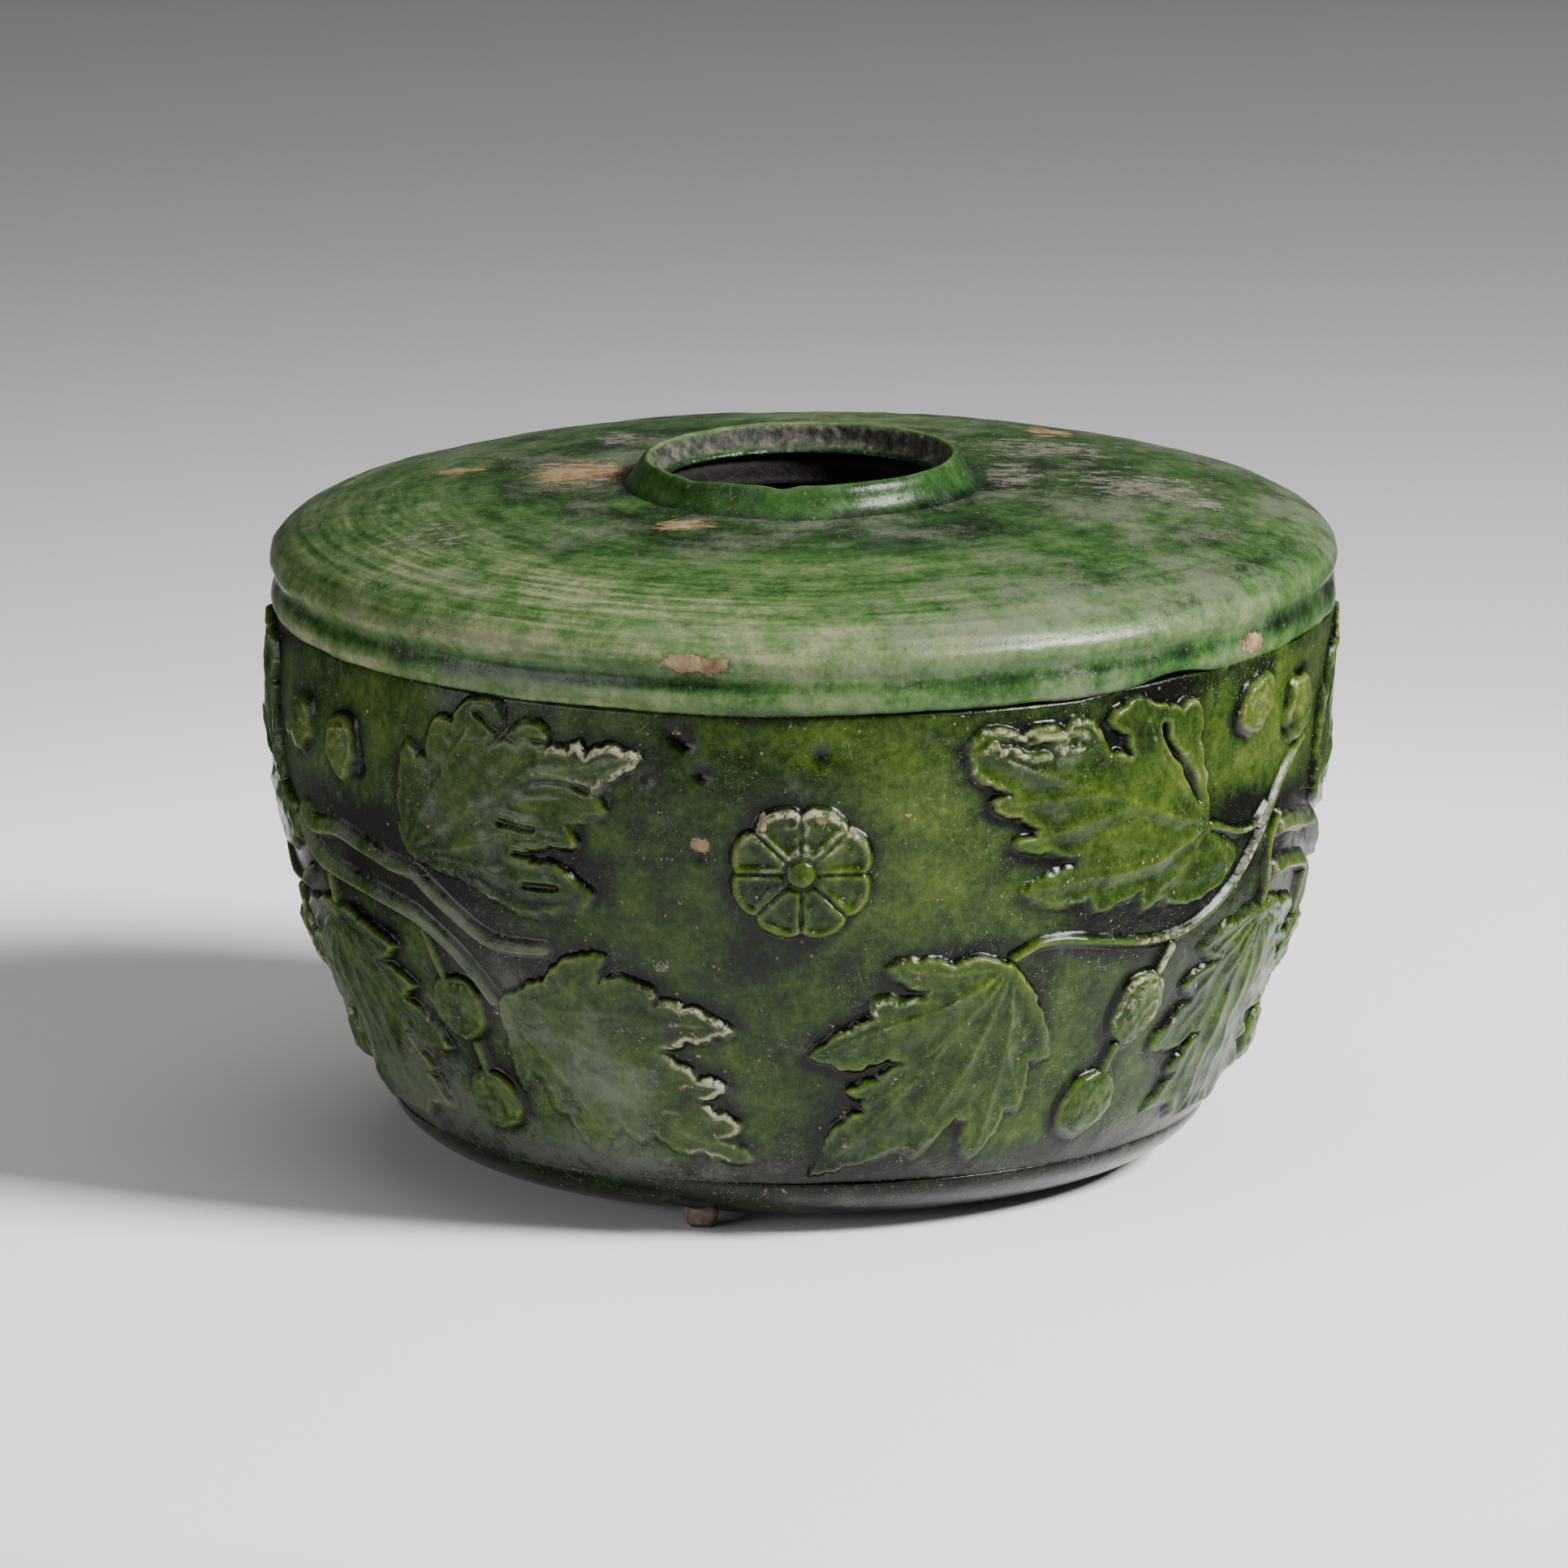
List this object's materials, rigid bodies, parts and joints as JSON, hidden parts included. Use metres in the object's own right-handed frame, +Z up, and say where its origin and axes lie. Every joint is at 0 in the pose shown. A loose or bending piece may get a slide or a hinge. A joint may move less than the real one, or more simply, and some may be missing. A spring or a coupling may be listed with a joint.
{
  "type": "water pot",
  "caption": "Squat round glazed pottery water pot with a small collared mouth, a flat-domed shoulder and vine leaf relief on its wall.",
  "frame": {"origin": "on the surface the pot stands on, under the pot's axis", "axes": "+Z up along the pot's axis, -Y towards the front rosette"},
  "size_m": [0.1313, 0.1324, 0.0861],
  "materials": {
    "glazed_body": "glossy copper-green lead glaze over buff earthenware",
    "glazed_shoulder": "glossy copper-green lead glaze, scuffed and worn through in places",
    "glazed_relief": "green glaze, thin and pale on the edges of the relief",
    "bare_clay": "unglazed fired clay"
  },
  "bodies": {
    "root": {"base_disc": "glazed_body", "berry_left_1_of_1": "glazed_relief", "berry_left_1_of_2": "glazed_relief", "berry_left_1_of_3": "glazed_relief", "berry_left_2_of_1": "glazed_relief", "berry_left_2_of_2": "glazed_relief", "berry_left_2_of_3": "glazed_relief", "berry_right_1_of_1": "glazed_relief", "berry_right_1_of_2": "glazed_relief", "berry_right_1_of_3": "glazed_relief", "berry_right_2_of_1": "glazed_relief", "berry_right_2_of_2": "glazed_relief", "berry_right_2_of_3": "glazed_relief", "bowl_wall": "glazed_body", "bud_1_of_1": "glazed_relief", "bud_1_of_2": "glazed_relief", "bud_1_of_3": "glazed_relief", "bud_2_of_1": "glazed_relief", "bud_2_of_2": "glazed_relief", "bud_2_of_3": "glazed_relief", "kiln_spur_1": "bare_clay", "kiln_spur_2": "bare_clay", "kiln_spur_3": "bare_clay", "leaf_lower_left_1": "glazed_relief", "leaf_lower_left_2": "glazed_relief", "leaf_lower_left_3": "glazed_relief", "leaf_lower_right_1": "glazed_relief", "leaf_lower_right_2": "glazed_relief", "leaf_lower_right_3": "glazed_relief", "leaf_middle_1": "glazed_relief", "leaf_middle_2": "glazed_relief", "leaf_middle_3": "glazed_relief", "leaf_upper_left_1": "glazed_relief", "leaf_upper_left_2": "glazed_relief", "leaf_upper_left_3": "glazed_relief", "leaf_upper_right_1": "glazed_relief", "leaf_upper_right_2": "glazed_relief", "leaf_upper_right_3": "glazed_relief", "middle_stalk_1": "glazed_relief", "middle_stalk_2": "glazed_relief", "middle_stalk_3": "glazed_relief", "mouth_collar": "glazed_shoulder", "ribbon_lower_1": "glazed_relief", "ribbon_lower_2": "glazed_relief", "ribbon_lower_3": "glazed_relief", "ribbon_upper_1": "glazed_relief", "ribbon_upper_2": "glazed_relief", "ribbon_upper_3": "glazed_relief", "rosette_1": "glazed_relief", "rosette_2": "glazed_relief", "rosette_3": "glazed_relief", "shoulder_slab": "glazed_shoulder", "upper_stalk_1": "glazed_relief", "upper_stalk_2": "glazed_relief", "vine_1": "glazed_relief", "vine_2": "glazed_relief", "vine_3": "glazed_relief"}
  },
  "joints": []
}
